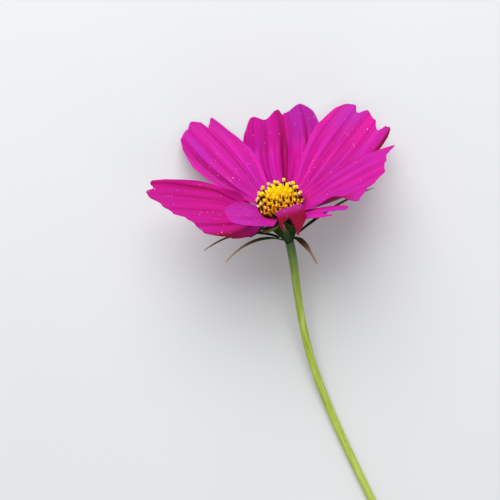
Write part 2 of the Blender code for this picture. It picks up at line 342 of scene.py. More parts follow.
stem_green, graph, shader = new_material("stem_green", 0.38, Specular_IOR_Level=0.45)
place = object_millimetres(graph)
down = graph.node("ShaderNodeAttribute", {"attribute_name": "down"}, output="Fac")
turn = graph.node("ShaderNodeAttribute", {"attribute_name": "round"}, output="Fac") * (2.0 * pi)
tone = down + place.noise(0.35, detail=3.0) * 0.08 - 0.04
green = tone.node("ShaderNodeValToRGB", {"stops": (
    (0.0, (0.016, 0.055, 0.002)), (0.06, (0.070, 0.155, 0.003)), (0.17, (0.215, 0.310, 0.006)),
    (0.32, (0.315, 0.425, 0.022)), (1.0, (0.375, 0.460, 0.055)),
)}, {"Fac": tone})
strand = graph.node("ShaderNodeCombineXYZ", {}, {
    "X": turn.maths("COSINE") * 2.5, "Y": turn.maths("SINE") * 2.5, "Z": down * 14.0,
}).noise(1.0, detail=3.0)
# Pale and dark lengthwise streaks away from the cup: partly the stalk's own striping, partly
# painted highlight and painted shade along its length.
streak_and_painted_light_mask = down.between(0.0, 0.25)
green = (strand.between(0.5, 0.68) * streak_and_painted_light_mask * 0.45).blend(green, (0.560, 0.640, 0.200))
green = (strand.between(0.48, 0.3) * streak_and_painted_light_mask * 0.5).blend(green, (0.100, 0.200, 0.006))
green.to(shader.inputs["Base Color"])
bump(graph, shader, place.noise(6.0, detail=2.0), 0.03)

foot = Vector((HEAD_CENTRE.x, HEAD_CENTRE.y, 0.0))
route = bpy.data.meshes.new("stem_route")
route.from_pydata(
    [foot + Vector(knot) * MM for knot in STEM_ROUTE],
    [(knot, knot + 1) for knot in range(len(STEM_ROUTE) - 1)], [],
)
stem = grow("stem_stalk", route, stalk, {
    "Steps": 220, "Radius": STEM_RADIUS * MM, "Ribs": 10, "Rib Depth": 0.035, "Neck": 0.16,
    "Material": stem_green,
})
show("stem_stalk", stem, "stem", "stem")


# ------------------------------------------------------------------------------ Blade shape
# Petals and bracts are one family of thin curved blades. Each leaves its seat on the cup along a
# midrib that rises and turns, and its surface rolls, arches, furrows and frays across the rib.

SURFACE_LEVEL = 0.22    # how low the middle of a petal's thickness can lie
SURFACE_EASE = 1.2      # over what height a petal eases onto the surface

BLADE_FORM = dict(
    seat_radius=5.9, seat_height=-1.4, claw=3.4, fullness=1.1, turn=0.0, sway=0.0, curl=0.0,
    lift=0.0, lift_from=0.6, lift_to=1.0, roll=0.0, roll_by=0.4, arch=8.0, skew=0.0, shoulder=0.16,
    tip=((-1.0, 1.0), (1.0, 1.0)), folds=(), furrows=(), pointed=False, flush=0.0,
)


def ease(value):
    """A smooth step from 0 to 1."""
    value = np.clip(value, 0.0, 1.0)
    return value * value * (3.0 - 2.0 * value)


def outline(points, across):
    """A line through (place, value) points that eases from each point to the next."""
    places, values = np.array(points).T
    after = np.clip(np.searchsorted(places, across, side="right"), 1, len(places) - 1)
    share = (across - places[after - 1]) / (places[after] - places[after - 1])
    return values[after - 1] + (values[after] - values[after - 1]) * ease(share)


def running_sum(values, spacing, axis=0):
    """The trapezoid integral of values from the first one on."""
    values = np.moveaxis(values, axis, 0)
    steps = (values[1:] + values[:-1]) * 0.5 * spacing
    total = np.concatenate([np.zeros_like(values[:1]), np.cumsum(steps, axis=0)])
    return np.moveaxis(total, 0, axis)


def blade_points(form, rows, columns):
    """Points of a blade in the flower's frame, from its claw to its tip.

    With them come how far each point lies in a furrow and how far it lies past a fold.
    """
    along = np.linspace(0.0, 1.15, 240)
    spacing = (along[1] - along[0]) * form["length"]
    climb = form["rise"] + form["curl"] * along
    bent = (along - form["lift_from"]) / (form["lift_to"] - form["lift_from"])
    climb = climb + form["lift"] * ease(bent)
    climb = np.radians(climb)
    heading = form["seat"] + form["turn"] * ease(along / 0.35) + form["sway"] * along
    heading = np.radians(heading)
    seat = np.radians(form["seat"])
    rib = np.stack([
        running_sum(np.cos(climb) * np.cos(heading), spacing) + form["seat_radius"] * np.cos(seat),
        running_sum(np.cos(climb) * np.sin(heading), spacing) + form["seat_radius"] * np.sin(seat),
        running_sum(np.sin(climb), spacing) + form["seat_height"],
    ], axis=-1)

    across = np.linspace(-1.0, 1.0, columns)
    reach = outline(form["tip"], across) - form["shoulder"] * np.abs(across) ** 4
    run = np.linspace(0.0, 1.0, rows)[:, None] * reach[None, :]
    side = np.broadcast_to(across, run.shape)

    if form["pointed"]:
        half_width = form["width"] / 2 * (0.6 + 0.4 * ease(run / 0.25))
        half_width = half_width * (1.0 - 0.88 * ease((run - 0.3) / 0.75))
    else:
        swell = np.sin(pi / 2 * np.clip(run / 0.72, 0.0, 1.0)) ** form["fullness"]
        half_width = (form["claw"] + (form["width"] - form["claw"]) * swell) / 2
        half_width = half_width * (1.0 - 0.10 * np.clip((run - 0.72) / 0.28, 0.0, 1.2) ** 2)

    half_width = half_width * (1.0 + form["skew"] * side)

    bank = form["roll"] * ease(run / form["roll_by"]) + form["arch"] * side * (0.3 + 0.7 * run)
    folded = ease((run - form["lift_from"]) / (form["lift_to"] - form["lift_from"]))
    folded = folded * (form["lift"] < 0.0)
    for place, angle, width, end in form["folds"]:
        kept = ease(run / 0.35) * (1.0 - ease((run - end) / 0.2 + 0.5))
        turned = ease((side - place) / width + 0.5) * kept
        bank = bank + angle * turned
        folded = np.maximum(folded, turned)
    bank = np.radians(bank)
    step = across[1] - across[0]
    middle = columns // 2
    level = running_sum(np.cos(bank), step, axis=1)
    level = (level - level[:, middle:middle + 1]) * half_width
    height = running_sum(np.sin(bank), step, axis=1)
    height = (height - height[:, middle:middle + 1]) * half_width

    centre = np.stack([np.interp(run, along, rib[:, axis]) for axis in range(3)], axis=-1)
    climb_here = np.interp(run, along, climb)
    heading_here = np.interp(run, along, heading)
    sideways = np.stack([-np.sin(heading_here), np.cos(heading_here), 0 * run], axis=-1)
    upward = np.stack([
        -np.sin(climb_here) * np.cos(heading_here),
        -np.sin(climb_here) * np.sin(heading_here),
        np.cos(climb_here),
    ], axis=-1)
    points = centre + sideways * level[..., None] + upward * height[..., None]

    furrow = 0.0 * run
    for place, depth, lower_side, upper_side in form["furrows"]:
        away = side - place
        spread = np.where(away < 0.0, lower_side, upper_side)
        furrow = furrow + depth * np.exp(-(away / spread) ** 2)
    furrow = furrow * ease(run / 0.3) * (1.0 - 0.5 * ease((run - 0.6) / 0.4))
    normal = np.cross(np.gradient(points, axis=1), np.gradient(points, axis=0))
    normal = -normal / np.linalg.norm(normal, axis=-1, keepdims=True)
    points = points - normal * furrow[..., None]

    points = points @ np.array(HEAD_FRAME.to_3x3()).T + np.array(HEAD_CENTRE) / MM
    drop = (points[..., 2] - SURFACE_LEVEL) / SURFACE_EASE
    points[..., 2] = SURFACE_LEVEL + SURFACE_EASE * np.logaddexp(0.0, drop)
    return points, furrow, folded


veined = new_tree("veined_blade", {
    "Veins": "Float", "Vein Height": "Float", "Pleats": "Float", "Pleat Height": "Float",
    "Ripples": "Float", "Ripple Height": "Float", "Wall": "Float", "Flush": "Float",
    "Seed": "Float", "Material": "Material",
})
blade_map = veined.node(
    "GeometryNodeInputNamedAttribute", {"data_type": "FLOAT_VECTOR"}, {"Name": "blade"}
)
split = veined.node("ShaderNodeSeparateXYZ", {}, {0: blade_map})
across = split.of("X")
along = split.of("Y")
grown = along.between(0.02, 0.3)
wander = veined.node("ShaderNodeCombineXYZ", {}, {
    "X": across * veined.of("Ripples"), "Y": along * 1.3, "Z": veined.of("Seed"),
})
ripple = (wander.noise(1.0, detail=2.0) - 0.5) * veined.of("Ripple Height")
drift = across + wander.noise(0.8) * 0.07
vein = (drift * veined.of("Veins") * (2.0 * pi)).maths("COSINE") * veined.of("Vein Height")
pleat = (drift * veined.of("Pleats") * (2.0 * pi) + veined.of("Seed")).maths("COSINE")
pleat = 1.0 - (pleat + 1.0) ** 1.7 * 0.6
pleat_fade = (1.0 - along.between(0.55, 1.0) * 0.5) * grown
normal = veined.node("GeometryNodeInputNormal")
margin = (across * 2.0 - 1.0).maths("ABSOLUTE").maths("MAXIMUM", along)
thickness = veined.of("Wall") * (1.0 - margin ** 14.0 * 0.6)
lift = (vein + ripple) * grown + pleat * pleat_fade * veined.of("Pleat Height") - thickness * 0.5
sheet = store(veined.of("Geometry"), "pleat", pleat * pleat_fade)
# Each blade's flush: on bracts their real reddish drying, on petals painted sheen and painted
# shade.
sheet = store(sheet, "flush", veined.of("Flush"))
upper = veined.node("GeometryNodeSetPosition", {}, {
    "Geometry": sheet, "Offset": normal.scaled(lift),
})
under = veined.node(
    "GeometryNodeExtrudeMesh", {"mode": "FACES"},
    {"Mesh": upper, "Offset Scale": thickness, "Individual": False},
)
upper = store(veined.node("GeometryNodeFlipFaces", {}, {"Mesh": upper}), "upper_skin", 1.0, "FACE")
both = veined.node("GeometryNodeJoinGeometry", {}, {"Geometry": [under, upper]})
both = veined.node(
    "GeometryNodeMergeByDistance", {}, {"Geometry": both, "Distance": 0.001 * MM}
)
end_tree(both, veined)


def blade_mesh(name, form, rows, columns, inputs):
    """A closed thin blade with veins and pleats, its furrows and folds kept for its material."""
    points, *marks = blade_points(form, rows, columns)
    sheet = sheet_mesh(name, points)
    for label, mark in zip(("furrow", "folded"), marks):
        values = sheet.attributes.new(label, "FLOAT", "POINT")
        values.data.foreach_set("value", mark.ravel())
    mesh = grow(name, sheet, veined, inputs)
    mesh.shade_smooth()
    mesh.set_sharp_from_angle(angle=radians(60.0))
    return mesh


# ----------------------------------------------------------------------------- Outer bracts
# Eight narrow green bracts at the foot of the cup, grown in one with it. They spread, curl back
# over the stem and turn reddish brown and dry towards their tips.

OUTER_BRACT_FORM = dict(
    BLADE_FORM, seat_radius=2.8, seat_height=-10.4, claw=1.2, width=2.0, arch=20.0, shoulder=0.0,
    pointed=True,
)
OUTER_BRACTS = {
    "right": dict(OUTER_BRACT_FORM, seat=355, length=28, rise=32, curl=-22),
    "back_right": dict(OUTER_BRACT_FORM, seat=40, length=17, rise=34, curl=-12),
    "back": dict(OUTER_BRACT_FORM, seat=85, length=15, rise=36, curl=-14),
    "back_left": dict(OUTER_BRACT_FORM, seat=130, length=18, rise=32, curl=-24),
    "left": dict(OUTER_BRACT_FORM, seat=175, turn=15, length=25, rise=38, curl=-60),
    "front_left": dict(
        OUTER_BRACT_FORM, seat=220, turn=-5, length=24, rise=40, curl=-62, flush=0.1,
    ),
    "front": dict(OUTER_BRACT_FORM, seat=265, length=12.5, rise=50),
    "front_right": dict(
        OUTER_BRACT_FORM, seat=305, turn=-15, length=13.5, rise=5, curl=-55, flush=0.3,
    ),
}

OUTER_BRACT_ROWS = 50
OUTER_BRACT_COLUMNS = 13

bract_green, graph, shader = new_material("bract_green", 0.6, Specular_IOR_Level=0.12)
place = object_millimetres(graph)
share = graph.node("ShaderNodeSeparateXYZ", {}, {
    0: graph.node("ShaderNodeUVMap", {"uv_map": "blade"}),
}).of("Y")
flush = graph.node("ShaderNodeAttribute", {"attribute_name": "flush"}, output="Fac")
dried = share + flush + place.noise(0.8, detail=3.0) * 0.3 - 0.15
tint = dried.node("ShaderNodeValToRGB", {"stops": (
    (0.0, (0.008, 0.035, 0.001)), (0.45, (0.020, 0.050, 0.004)), (0.70, (0.100, 0.070, 0.028)),
    (1.0, (0.300, 0.190, 0.110)),
)}, {"Fac": dried})
tint.to(shader.inputs["Base Color"])
bump(graph, shader, place.noise(4.0, detail=3.0), 0.05)

for bract, form in OUTER_BRACTS.items():
    mesh = blade_mesh("bract_" + bract, form, OUTER_BRACT_ROWS, OUTER_BRACT_COLUMNS, {
        "Veins": 2.0, "Vein Height": 0.05 * MM, "Ripples": 1.0, "Ripple Height": 0.2 * MM,
        "Wall": 0.4 * MM, "Flush": form["flush"], "Seed": float(form["seat"]),
        "Material": bract_green,
    })
    show("bract_" + bract, mesh, "bract", "outer_bract_" + bract)


# ----------------------------------------------------------------------------- Inner bracts
# Eight short oval bracts in a ring close under the petals, thinner and broader than the outer
# ones: membranes of dull green with a reddish flush at the tip, grown from the cup's shoulder.

INNER_BRACT_FORM = dict(
    BLADE_FORM, seat_radius=5.95, seat_height=-3.2, claw=2.6, width=5.4, curl=6.0,
    arch=20.0, shoulder=0.6,
)
# (seat, rise, length) of each
INNER_BRACTS = (
    (17, 12, 11), (62, 12, 11), (107, 12, 11), (152, 10, 11), (197, -24, 7), (242, 8, 8),
    (287, 10, 8), (332, 6, 10),
)

INNER_BRACT_ROWS = 30
INNER_BRACT_COLUMNS = 25

membrane, graph, shader = new_material("bract_membrane", 0.6, Specular_IOR_Level=0.12)
place = object_millimetres(graph)
share = graph.node("ShaderNodeSeparateXYZ", {}, {
    0: graph.node("ShaderNodeUVMap", {"uv_map": "blade"}),
}).of("Y")
flush = share + place.noise(1.2, detail=3.0) * 0.4 - 0.2
tint = flush.node("ShaderNodeValToRGB", {"stops": (
    (0.0, (0.020, 0.055, 0.005)), (0.5, (0.050, 0.085, 0.012)), (0.85, (0.060, 0.070, 0.014)),
    (1.0, (0.090, 0.045, 0.020)),
)}, {"Fac": flush})
tint.to(shader.inputs["Base Color"])
bump(graph, shader, place.noise(3.0, detail=3.0), 0.05)

for number, (seat, rise, length) in enumerate(INNER_BRACTS, start=1):
    form = dict(INNER_BRACT_FORM, seat=seat, rise=rise, length=length)
    name = f"inner_bract_{number}_membrane"
    mesh = blade_mesh(name, form, INNER_BRACT_ROWS, INNER_BRACT_COLUMNS, {
        "Veins": 6.0, "Vein Height": 0.03 * MM, "Ripples": 2.0, "Ripple Height": 0.3 * MM,
        "Wall": 0.25 * MM, "Seed": float(seat), "Material": membrane,
    })
    show(name, mesh, "bract", f"inner_bract_{number}")


# ---------------------------------------------------------------------------------- Petals
# Eight ray petals on the cup's rim: soft satin blades of magenta, deepest on the upper skin,
# pleated lengthwise, with blunt teeth at the tip. Those in front stand up and fold over.

PETAL_ROWS = 110
PETAL_COLUMNS = 91
# Across a blade runs from -1 to 1. A tip is (place across, length there as a share of the whole),
# a fold is (place across, angle, width, where along the blade it ends), and a furrow is (place
# across, depth, width on its lower side, width on its upper side)
# A petal's flush is painted light: above 0 it paints a violet sheen, below 0 it paints shade.
PETALS = {
    "back": dict(
        BLADE_FORM, seat=80, seat_height=-2.0, length=38.5, width=26, rise=17, curl=4, lift=42,
        roll=-2, arch=4,
        furrows=((-0.07, 1.5, 0.05, 0.14), (-0.62, 1.0, 0.06, 0.10), (0.38, 0.5, 0.07, 0.12)),
        flush=0.1,
        tip=((-1.0, 0.97), (-0.93, 1.06), (-0.73, 1.05), (-0.18, 0.965), (0.02, 1.0), (0.37, 0.94),
             (0.77, 1.02), (0.92, 0.97), (1.0, 0.87)),
    ),
    "back_right": dict(
        BLADE_FORM, seat=38, turn=-5, sway=4, length=40, width=24.5, claw=5.6, fullness=1.25,
        rise=18, curl=8, roll=14, folds=((-0.9, 60, -0.1, 2.0),),
        furrows=((-0.3, 0.6, 0.1, 0.06), (0.1, 0.5, 0.1, 0.06), (0.45, 0.5, 0.1, 0.05)),
        tip=((-1.0, 0.99), (-0.95, 1.02), (-0.8, 0.97), (-0.6, 0.87), (-0.32, 0.935), (0.07, 0.985),
             (0.25, 0.93), (0.5, 1.0), (0.9, 1.0), (1.0, 0.87)),
    ),
    "right": dict(
        BLADE_FORM, seat=-8, turn=1, length=33.2, width=17, claw=5.8, skew=-0.2, fullness=0.85,
        rise=17, curl=2, roll=22, arch=10, folds=((-0.62, -80, -0.2, 0.5),),
        furrows=((0.1, 0.8, 0.08, 0.12), (-0.3, 0.5, 0.06, 0.1)), flush=0.35,
        tip=((-1.0, 0.7), (-0.85, 0.66), (-0.66, 0.68), (-0.58, 0.76), (-0.28, 0.86), (0.32, 0.915),
             (0.73, 1.065), (1.0, 0.88)),
    ),
    "front_right": dict(
        BLADE_FORM, seat=-50, seat_height=-2.3, turn=-2, length=21, width=12,
        claw=5.4, fullness=0.8, rise=18, curl=-8, roll=-6, arch=0,
        tip=((-1.0, 0.62), (-0.7, 0.9), (-0.4, 0.95), (-0.15, 0.65), (0.1, 0.6), (0.3, 0.75),
             (0.5, 1.0), (0.85, 1.0), (1.0, 0.8)),
    ),
    "front": dict(
        BLADE_FORM, seat=-92, turn=11, length=22.5, width=9, skew=0.3, rise=40, lift=-118,
        lift_from=0.42, lift_to=0.66, arch=-6, flush=0.7,
        tip=((-1.0, 0.82), (-0.85, 0.87), (-0.6, 0.8), (-0.45, 0.69), (0.1, 0.66), (0.2, 0.75),
             (0.33, 0.93), (0.5, 0.88), (0.75, 0.84), (0.95, 0.84), (1.0, 0.7)),
    ),
    "front_left": dict(
        BLADE_FORM, seat=-137, seat_radius=6.3, seat_height=-1.2, length=18.4, width=10.5,
        claw=6.5, fullness=0.3, skew=-0.1, rise=29, roll=-36, roll_by=0.15, arch=27, flush=1.0,
        tip=((-1.0, 0.8), (-0.5, 1.0), (0.5, 1.0), (1.0, 0.8)),
    ),
    "left": dict(
        BLADE_FORM, seat=181, seat_height=-2.1, turn=4, length=36, width=25, claw=5.6,
        fullness=0.55, rise=19, curl=4, roll=-30, folds=((0.62, -40, 0.2, 2.0),),
        furrows=((-0.84, 0.9, 0.06, 0.10), (-0.5, 0.8, 0.12, 0.06), (-0.1, 0.6, 0.1, 0.06),
                 (0.35, 0.6, 0.08, 0.06)),
        flush=-0.9,
        tip=((-1.0, 0.72), (-0.93, 1.08), (-0.7, 0.985), (-0.62, 1.03), (-0.45, 1.0), (-0.2, 0.88),
             (0.05, 0.79), (0.15, 0.68), (0.35, 0.6), (0.6, 0.56), (0.82, 0.37), (1.0, 0.28)),
    ),
    "back_left": dict(
        BLADE_FORM, seat=124, seat_height=-0.5, turn=-8, sway=4, length=40.5, width=20.8,
        claw=5.4, rise=26, curl=4, roll=-4,
        furrows=((-0.35, 0.6, 0.06, 0.12), (0.12, 0.6, 0.06, 0.12), (0.58, 0.9, 0.05, 0.12)),
        flush=0.3,
        tip=((-1.0, 0.58), (-0.9, 0.67), (-0.78, 0.8), (-0.7, 0.99), (-0.42, 0.92), (-0.36, 0.9),
             (-0.3, 0.98), (-0.02, 1.02), (0.3, 0.97), (0.6, 0.96), (0.85, 0.91), (1.0, 0.8)),
    ),
}

petal_satin, graph, shader = new_material("petal_satin", 0.5, Specular_IOR_Level=0.12)
shader.inputs["Sheen Weight"].default_value = 0.06
shader.inputs["Sheen Roughness"].default_value = 0.4
shader.inputs["Sheen Tint"].default_value = (0.85, 0.30, 1.0, 1.0)
place = object_millimetres(graph)
blade_map = graph.node("ShaderNodeUVMap", {"uv_map": "blade"})
share = graph.node("ShaderNodeSeparateXYZ", {}, {0: blade_map}).of("Y")
flush = graph.node("ShaderNodeAttribute", {"attribute_name": "flush"}, output="Fac")
pleat = graph.node("ShaderNodeAttribute", {"attribute_name": "pleat"}, output="Fac")
furrow = graph.node("ShaderNodeAttribute", {"attribute_name": "furrow"}, output="Fac")
folded = graph.node("ShaderNodeAttribute", {"attribute_name": "folded"}, output="Fac")
upper_skin = graph.node("ShaderNodeAttribute", {"attribute_name": "upper_skin"}, output="Fac")
cells = blade_map.vector("ADD", graph.node("ShaderNodeCombineXYZ", {}, {"Z": flush * 9.0}))
patch = cells.vector("MULTIPLY", (3.0, 1.6, 1.0)).noise(1.0, detail=2.0)
streak = cells.vector("MULTIPLY", (15.0, 0.9, 1.0)).noise(1.0, detail=3.0, roughness=0.6)
fine = cells.vector("MULTIPLY", (48.0, 1.5, 1.0)).noise(1.0, detail=2.0)
colour = patch.between(0.35, 0.65).blend((0.88, 0.003, 0.54), (0.66, 0.016, 0.70))
colour = (streak.between(0.5, 0.7) * 0.8).blend(colour, (1.0, 0.008, 0.72))
colour = (streak.between(0.5, 0.3) * 0.8).blend(colour, (0.58, 0.001, 0.42))
# Painted shade in the pleats' valleys and a painted violet highlight along their crests.
colour = (pleat.between(0.3, -0.6) * 0.6).blend(colour, (0.52, 0.001, 0.34))
colour = (pleat.between(0.7, 1.0) * 0.3).blend(colour, (1.0, 0.030, 0.88))
colour = (fine.between(0.54, 0.72) * 0.5).blend(colour, (0.95, 0.06, 0.90))
colour = (fine.between(0.46, 0.30) * 0.4).blend(colour, (0.55, 0.001, 0.36))
tip_patch = share.between(0.65, 1.0) * patch.between(0.4, 0.6)
colour = (tip_patch * 0.5).blend(colour, (0.52, 0.04, 0.72))
# Painted light set per petal by its flush: above 0 a painted violet sheen that lightens the petal,
# below 0 painted shade that deepens it.
colour = (flush.maths("MAXIMUM", 0.0) * 0.6).blend(colour, (0.70, 0.050, 0.80))
colour = ((0.0 - flush).maths("MAXIMUM", 0.0) * 0.7).blend(colour, (0.60, 0.002, 0.34))
# Painted shade: the furrows darken towards deep crimson.
colour = (furrow.between(0.1, 1.1) * 0.8).blend(colour, (0.30, 0.001, 0.13))
# Deeper crimson towards the base, and painted shade on the claw, nearly black where it lies under
# the disc.
colour = ((1.0 - share.between(0.0, 0.3)) * 0.5).blend(colour, (0.72, 0.003, 0.36))
colour = ((1.0 - share.between(0.0, 0.12)) * 0.7).blend(colour, (0.24, 0.001, 0.05))
# Painted shade: what lies past a fold, and the hanging end of the front petal, turns near-black
# crimson.
colour = (folded * 0.97).blend(colour, (0.19, 0.001, 0.022))
colour = (upper_skin * 0.45).blend(colour, (0.32, 0.001, 0.010))
colour.to(shader.inputs["Base Color"])
(0.58 - fine * 0.16).to(shader.inputs["Roughness"])
bump(graph, shader, fine + place.noise(7.0, detail=2.0) * 0.3, 0.10)
glow = graph.node("ShaderNodeBsdfTranslucent", {}, {"Color": (0.90, 0.003, 0.36, 1.0)})
surface = graph.node("ShaderNodeMixShader", {}, {
    0: 0.24 - folded * 0.16, 1: Socket(graph.tree, shader.outputs[0]), 2: glow,
})
surface.to(petal_satin.node_tree.nodes["Material Output"].inputs["Surface"])

petals = {}
for number, (petal, form) in enumerate(PETALS.items()):
    mesh = blade_mesh("petal_" + petal + "_blade", form, PETAL_ROWS, PETAL_COLUMNS, {
        "Veins": 17.0, "Vein Height": 0.03 * MM, "Pleats": form["width"] / 5.0,
        "Pleat Height": form["width"] * 0.018 * MM,
        "Ripples": 5.0, "Ripple Height": 0.8 * MM, "Wall": 0.28 * MM,
        "Seed": 3.7 * number, "Flush": form["flush"], "Material": petal_satin,
    })
    petals[petal] = show("petal_" + petal + "_blade", mesh, "petal", "petal_" + petal)


# ------------------------------------------------------------------------------------ Disc
# Sixty little tubular florets stand packed on the pad in a golden-angle spiral. Each is a yellow
# tube with five lobes, a dark anther column that grows out of it, and a ball of pollen on top.

FLORETS = 60
TUBE_LENGTH = 3.5
# (radius, height, lobe depth): a tube from its root, a column and a ball from the floret's top
TUBE_PROFILE = (
    (0.0, 0.0, 0.0), (0.26, 0.0, 0.0), (0.30, 1.0, 0.0), (0.46, 1.9, 0.02), (0.62, 2.6, 0.06),
    (0.72, 3.1, 0.12), (0.84, 3.42, 0.26), (0.80, 3.52, 0.28), (0.56, 3.36, 0.20),
    (0.38, 2.9, 0.05), (0.0, 2.7, 0.0),
)
COLUMN_PROFILE = (
    (0.0, -2.6, 0.0), (0.26, -2.6, 0.0), (0.29, -2.0, 0.06), (0.32, -1.4, 0.10),
    (0.31, -0.55, 0.12), (0.20, -0.35, 0.0), (0.0, -0.3, 0.0),
)
POLLEN_PROFILE = (
    (0.0, -0.55, 0.0), (0.26, -0.5, 0.0), (0.44, -0.33, 0.06), (0.53, -0.02, 0.09),
    (0.47, 0.27, 0.07), (0.28, 0.45, 0.04), (0.0, 0.51, 0.0),
)

disc = new_tree("spiral_of_florets", {
    "Count": "Int", "Pad Radius": "Float", "Pad Top": "Float", "Pad Fall": "Float",
    "Dome Radius": "Float", "Dome Foot": "Float", "Half Angle": "Float", "Turn": "Float",
    "Inner Drop": "Float", "Upright": "Float", "Exposed": "Float", "Length": "Float",
    "Inner Length": "Float", "Inner Girth": "Float", "At Top": "Float", "Unevenness": "Float",
    "Seed": "Int", "Material": "Material",
})
points = disc.node("GeometryNodePoints", {}, {"Count": disc.of("Count")})
number = disc.node("GeometryNodeInputIndex")
rank = (number + 0.5) / disc.of("Count")
azimuth = number * disc.of("Turn")
outwards = disc.node("ShaderNodeCombineXYZ", {}, {
    "X": azimuth.maths("COSINE"), "Y": azimuth.maths("SINE"), "Z": 0.0,
})
foot_radius = rank ** 0.5 * disc.of("Pad Radius")
foot_height = disc.of("Pad Top") - foot_radius ** 2.0 * disc.of("Pad Fall")
slope = 1.0 - rank * (1.0 - disc.of("Half Angle").maths("COSINE"))
head_radius = (1.0 - slope ** 2.0) ** 0.5 * disc.of("Dome Radius")
inner = (0.6 - rank).maths("MAXIMUM", 0.0)
head_height = slope * disc.of("Dome Radius") + disc.of("Dome Foot")
head_height = head_height - (1.0 - rank.between(0.2, 0.4)) * disc.of("Inner Drop")


def raised(graph, radius, height):
    """The point at a radius along outwards and at a height."""
    upright = graph.node("ShaderNodeCombineXYZ", {}, {"Z": height})
    return outwards.scaled(radius).vector("ADD", upright)


jitter = disc.node("FunctionNodeRandomValue", {"data_type": "FLOAT_VECTOR"}, {
    0: (-1.0, -1.0, -1.0), 1: (1.0, 1.0, 1.0), "Seed": disc.of("Seed"),
}).scaled(disc.of("Unevenness"))
foot_point = raised(disc, foot_radius, foot_height)
head_point = raised(disc, head_radius, head_height).vector("ADD", jitter)
reach = head_point.vector("SUBTRACT", foot_point)
aim = reach.vector("NORMALIZE").scaled(1.0 - disc.of("Upright"))
aim = aim.vector("ADD", disc.node("ShaderNodeCombineXYZ", {}, {"Z": disc.of("Upright")}))
aim = aim.vector("NORMALIZE")
outer_front = ((0.0 - azimuth.maths("SINE")) * rank).between(0.1, 0.7)
exposed = rank.between(0.18, 0.32) * 0.8 + 0.2 - rank.between(0.8, 1.0) * 0.3
exposed = exposed * (1.0 - outer_front * 0.45)
exposed = exposed * disc.of("Exposed")
throat = head_point.vector("SUBTRACT", aim.scaled(exposed)).vector("SUBTRACT", foot_point)
stretch = throat.vector("LENGTH", output="Value") / disc.of("Length")
stretch = (stretch + (1.0 - stretch) * disc.of("At Top")) * (inner * disc.of("Inner Length") + 1.0)
girth = inner * disc.of("Inner Girth") + 1.0
facing = throat.scaled(1.0 - disc.of("At Top")).vector("ADD", aim.scaled(disc.of("At Top")))
facing = disc.node("FunctionNodeAlignRotationToVector", {"axis": "Z"}, {"Vector": facing})
spin = disc.node("FunctionNodeRandomValue", {"data_type": "FLOAT"}, {2: 0.0, 3: 2.0 * pi})
facing = disc.node("FunctionNodeRotateRotation", {"rotation_space": "LOCAL"}, {
    "Rotation": facing,
    "Rotate By": disc.node("ShaderNodeCombineXYZ", {}, {"Z": spin}),
})
points = disc.node("GeometryNodeSetPosition", {}, {
    "Geometry": points, "Position": foot_point.vector("ADD", reach.scaled(disc.of("At Top"))),
})
florets = disc.node("GeometryNodeInstanceOnPoints", {}, {
    "Points": points, "Instance": disc.of("Geometry"), "Rotation": facing,
    "Scale": disc.node("ShaderNodeCombineXYZ", {}, {"X": girth, "Y": girth, "Z": stretch}),
})
tint = disc.node("FunctionNodeRandomValue", {"data_type": "FLOAT"}, {2: 0.0, 3: 1.0})
florets = store(florets, "tint", tint, "INSTANCE")
florets = store(florets, "rank", rank, "INSTANCE")
florets = store(florets, "shade", (0.0 - azimuth.maths("SINE")) * rank, "INSTANCE")
end_tree(florets, disc)

tube_yellow, graph, shader = new_material("floret_yellow", 0.5, Specular_IOR_Level=0.2)
place = object_millimetres(graph)
tint = graph.node("ShaderNodeAttribute", {"attribute_name": "tint"}, output="Fac")
rank = graph.node("ShaderNodeAttribute", {"attribute_name": "rank"}, output="Fac")
shade = graph.node("ShaderNodeAttribute", {"attribute_name": "shade"}, output="Fac")
yellow = (place.noise(2.5, detail=3.0) * 0.6 + tint * 0.4).between(0.25, 0.75)
yellow = yellow.blend((1.0, 0.56, 0.0), (1.0, 0.74, 0.01))
yellow = (rank.between(0.55, 1.0) * 0.6).blend(yellow, (0.95, 0.40, 0.01))
(shade.between(0.35, 0.9) * 0.7).blend(yellow, (0.86, 0.32, 0.010)).to(shader.inputs["Base Color"])
bump(graph, shader, place.noise(9.0), 0.05)

anther_dark, graph, shader = new_material("anther_dark", 0.45, Specular_IOR_Level=0.3)
place = object_millimetres(graph)
dark = place.noise(3.0, detail=3.0).between(0.3, 0.8)
dark.blend((0.012, 0.003, 0.003), (0.07, 0.014, 0.008)).to(shader.inputs["Base Color"])
bump(graph, shader, place.noise(10.0), 0.05)

pollen_gold, graph, shader = new_material("pollen_gold", 0.75, Specular_IOR_Level=0.12)
place = object_millimetres(graph)
tint = graph.node("ShaderNodeAttribute", {"attribute_name": "tint"}, output="Fac")
rank = graph.node("ShaderNodeAttribute", {"attribute_name": "rank"}, output="Fac")
shade = graph.node("ShaderNodeAttribute", {"attribute_name": "shade"}, output="Fac")
gold = (rank - shade * 0.3).between(0.4, 0.7).blend((1.0, 0.72, 0.003), (1.0, 0.72, 0.24))
gold = (tint.between(0.3, 1.0) * 0.35).blend(gold, (1.0, 0.50, 0.03))
gold = (shade.between(0.1, 0.7) * 0.8).blend(gold, (0.90, 0.34, 0.010))
(place.noise(6.0, detail=3.0).between(0.4, 0.75) * 0.4).blend(gold, (0.90, 0.36, 0.01)).to(
    shader.inputs["Base Color"]
)
bump(graph, shader, place.noise(14.0, detail=2.0), 0.12)

